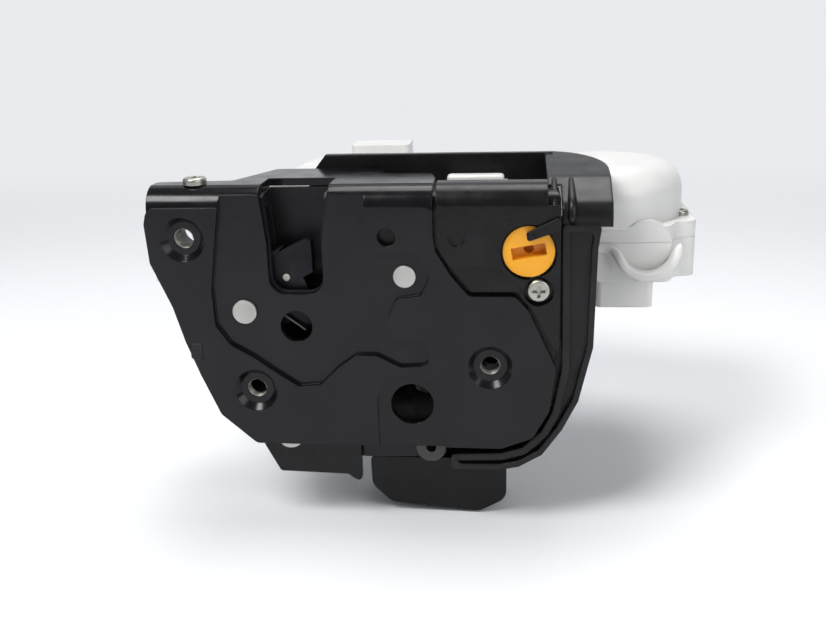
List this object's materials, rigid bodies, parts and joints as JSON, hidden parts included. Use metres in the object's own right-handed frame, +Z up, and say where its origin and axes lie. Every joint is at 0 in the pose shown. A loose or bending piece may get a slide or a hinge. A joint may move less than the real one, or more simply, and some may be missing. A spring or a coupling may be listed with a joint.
{
  "type": "door latch actuator",
  "caption": "Car door latch and lock actuator in one unit: pressed steel face plate with a striker mouth, resin latch body, child lock knob, sealing frame and an off-white actuator case.",
  "frame": {"origin": "centre of the latched striker bar, in the plane of the face plate's front", "axes": "+X along the face plate to the right as seen from in front, +Y into the door, away from the face plate, +Z up, out of the striker mouth"},
  "size_m": [0.149, 0.1025, 0.0946],
  "materials": {
    "pressed_steel": "black electrocoat on pressed steel, slightly glossy",
    "zinc_steel": "zinc plated steel",
    "rivet_steel": "bright turned steel, matt",
    "sintered_steel": "hardened blanked steel",
    "spring_steel": "oiled spring wire",
    "black_resin": "black moulded polyamide",
    "dark_resin": "dark grey moulded acetal",
    "black_rubber": "soft black moulded elastomer",
    "yellow_resin": "yellow-orange moulded acetal",
    "white_resin": "off-white moulded acetal",
    "pale_nylon": "pale grey moulded nylon",
    "motor_steel": "plated motor can",
    "brass": "bright brass",
    "board": "green laminate"
  },
  "bodies": {
    "latch_unit": {"base_plate": "pressed_steel", "back_plate": "zinc_steel", "ratchet_pin": "rivet_steel", "pawl_pin": "rivet_steel", "mouth_liner": "dark_resin", "bump_stop": "pale_nylon", "latch_body": "black_resin", "ratchet_spring": "spring_steel", "pawl_spring": "spring_steel", "outside_lever_pin": "rivet_steel", "child_lever_pin": "rivet_steel", "corner_cover": "black_resin", "cover_screw": "zinc_steel", "knob_clip": "black_resin", "flange_screw": "zinc_steel", "stop_tab": "black_rubber", "sealing_frame": "black_rubber", "lower_cover": "black_resin", "motor": "motor_steel", "wheel_pin": "rivet_steel", "lock_lever_pin": "rivet_steel", "contact_board": "board", "connector_terminals": "brass", "case_lower": "white_resin", "case_upper": "white_resin", "worm_bearing": "dark_resin", "case_screws": "zinc_steel", "joining_screws": "zinc_steel"},
    "ratchet": {"ratchet": "sintered_steel", "ratchet_jacket": "dark_resin"},
    "pawl": {"pawl": "sintered_steel", "pawl_lever": "zinc_steel"},
    "outside_handle_lever": {"outside_handle_lever": "pressed_steel", "lever_bush": "pale_nylon"},
    "inside_handle_lever": {"inside_handle_lever": "zinc_steel", "cable_stud": "pale_nylon"},
    "child_lock_knob": {"child_lock_knob": "yellow_resin"},
    "child_lock_lever": {"child_lock_lever": "zinc_steel"},
    "worm_wheel": {"worm_wheel": "white_resin"},
    "worm": {"worm": "brass"},
    "lock_lever": {"lock_lever": "dark_resin"}
  },
  "joints": [
    {"name": "ratchet_turn", "type": "hinge", "parent": "latch_unit", "child": "ratchet", "pos_m": [-0.0137, 0.0076, -0.01], "axis": [0, 1, 0], "range_deg": [0, 50], "deforming": ["ratchet_spring"]},
    {"name": "pawl_turn", "type": "hinge", "parent": "latch_unit", "child": "pawl", "pos_m": [0.0276, 0.0076, -0.0007], "axis": [0, 1, 0], "range_deg": [-5, 10.5], "deforming": ["pawl_spring"]},
    {"name": "outside_lever_turn", "type": "hinge", "parent": "latch_unit", "child": "outside_handle_lever", "pos_m": [-0.0043, 0.011, -0.0445], "axis": [0, 1, 0], "range_deg": [0, 15]},
    {"name": "inside_lever_turn", "type": "hinge", "parent": "latch_unit", "child": "inside_handle_lever", "pos_m": [0.0276, 0.019, -0.0007], "axis": [0, 1, 0], "range_deg": [0, 18]},
    {"name": "knob_turn", "type": "hinge", "parent": "latch_unit", "child": "child_lock_knob", "pos_m": [0.0583, 0.008, 0.0055], "axis": [0, 1, 0], "range_deg": [0, 70]},
    {"name": "child_lever_turn", "type": "hinge", "parent": "latch_unit", "child": "child_lock_lever", "pos_m": [0.0471, 0.0168, -0.0029], "axis": [0, 1, 0], "range_deg": [-20.5, 0]},
    {"name": "wheel_turn", "type": "hinge", "parent": "latch_unit", "child": "worm_wheel", "pos_m": [0.0685, 0.046, 0.0014], "axis": [0, 0, 1], "range_deg": [0, 110]},
    {"name": "worm_turn", "type": "hinge", "parent": "latch_unit", "child": "worm", "pos_m": [0.0895, 0.043, 0.0016], "axis": [0, 1, 0], "range_deg": [-3740, 0]},
    {"name": "lock_lever_turn", "type": "hinge", "parent": "latch_unit", "child": "lock_lever", "pos_m": [0.0445, 0.046, 0.0074], "axis": [0, 0, 1], "range_deg": [-36.7, 0]}
  ],
  "couplings": [
    {"joint": "child_lever_turn", "follows": "knob_turn", "ratio": -0.29},
    {"joint": "worm_turn", "follows": "wheel_turn", "ratio": -34},
    {"joint": "lock_lever_turn", "follows": "wheel_turn", "ratio": -0.33333}
  ]
}
